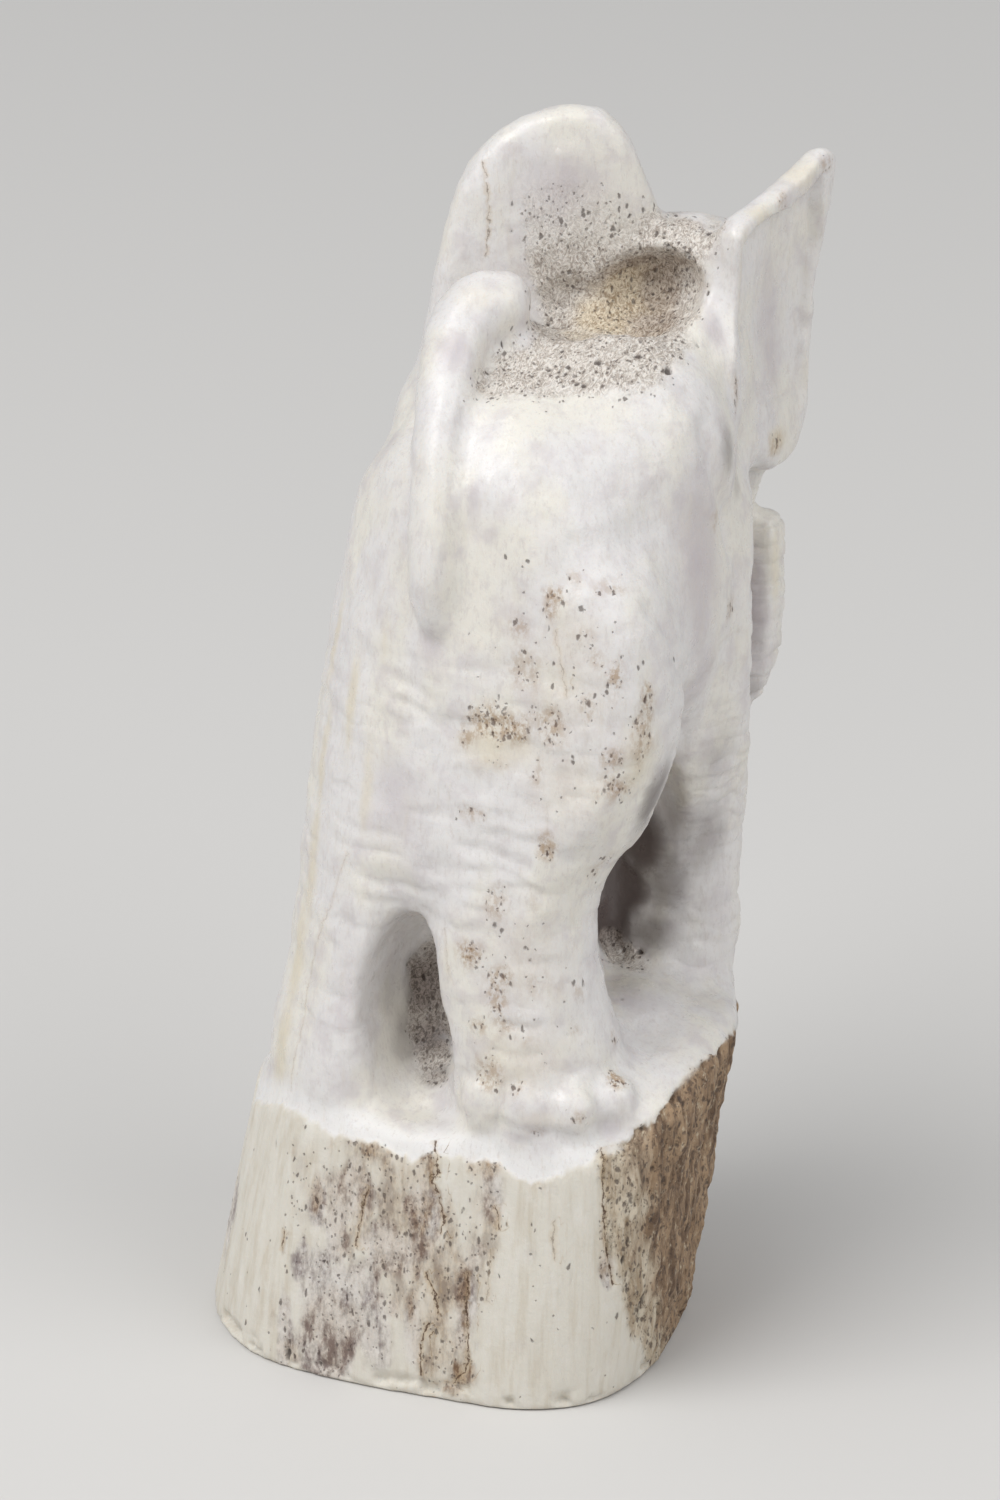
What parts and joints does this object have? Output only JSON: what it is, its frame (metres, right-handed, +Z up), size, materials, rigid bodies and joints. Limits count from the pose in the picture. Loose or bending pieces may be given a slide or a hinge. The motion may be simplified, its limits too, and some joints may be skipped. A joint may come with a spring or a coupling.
{
  "type": "elephant carving",
  "caption": "Small standing elephant with raised tail and curled trunk, carved from one length of antler and left on its uncut antler base.",
  "frame": {"origin": "middle of the flat sawn underside of the antler base, on the plane it stands on", "axes": "+Z up; +Y the way the elephant's body heads; +X to the elephant's right, the side the antler leans to"},
  "size_m": [0.04, 0.0426, 0.0947],
  "materials": {
    "antler": "satin"
  },
  "bodies": {
    "root": {"antler_carving": "antler"}
  },
  "joints": []
}
